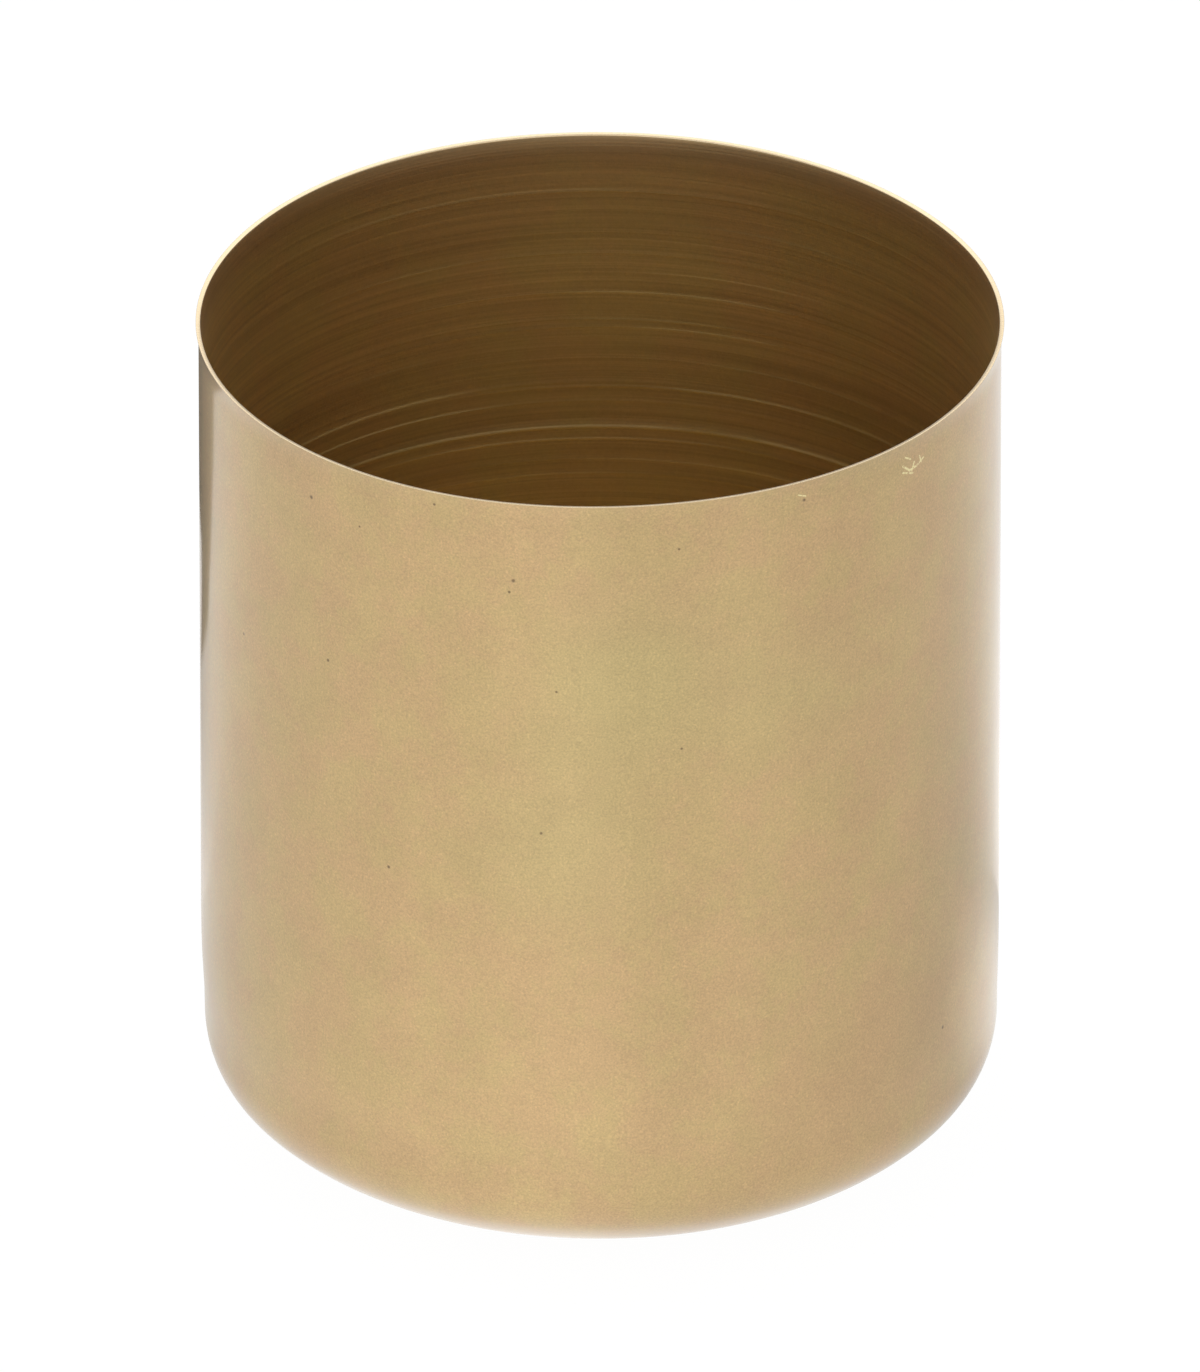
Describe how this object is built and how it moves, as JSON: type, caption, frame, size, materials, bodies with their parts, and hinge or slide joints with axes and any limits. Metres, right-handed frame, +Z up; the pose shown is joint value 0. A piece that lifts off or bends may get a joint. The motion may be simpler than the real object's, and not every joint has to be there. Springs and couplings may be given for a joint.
{
  "type": "planter pot",
  "caption": "Straight round planter pot spun from one thin brass sheet, open at the top, with a plain cut rim, a rounded base corner and felt pads under its flat base.",
  "frame": {"origin": "on the pot's axis, in the plane that the felt pads stand on", "axes": "+Z up along the pot's axis, out of its mouth; -Y is the front; +X is to the right as seen from the front"},
  "size_m": [0.141, 0.141, 0.1557],
  "materials": {
    "satin_brass": "fine satin outside, spun inside",
    "felt": "pressed wool felt",
    "adhesive_film": "thin translucent film"
  },
  "bodies": {
    "root": {"pot_shell": "satin_brass", "felt_pad_front": "felt", "felt_pad_right": "felt", "felt_pad_back": "felt", "felt_pad_left": "felt", "pad_film_front": "adhesive_film", "pad_film_right": "adhesive_film", "pad_film_back": "adhesive_film", "pad_film_left": "adhesive_film"}
  },
  "joints": []
}
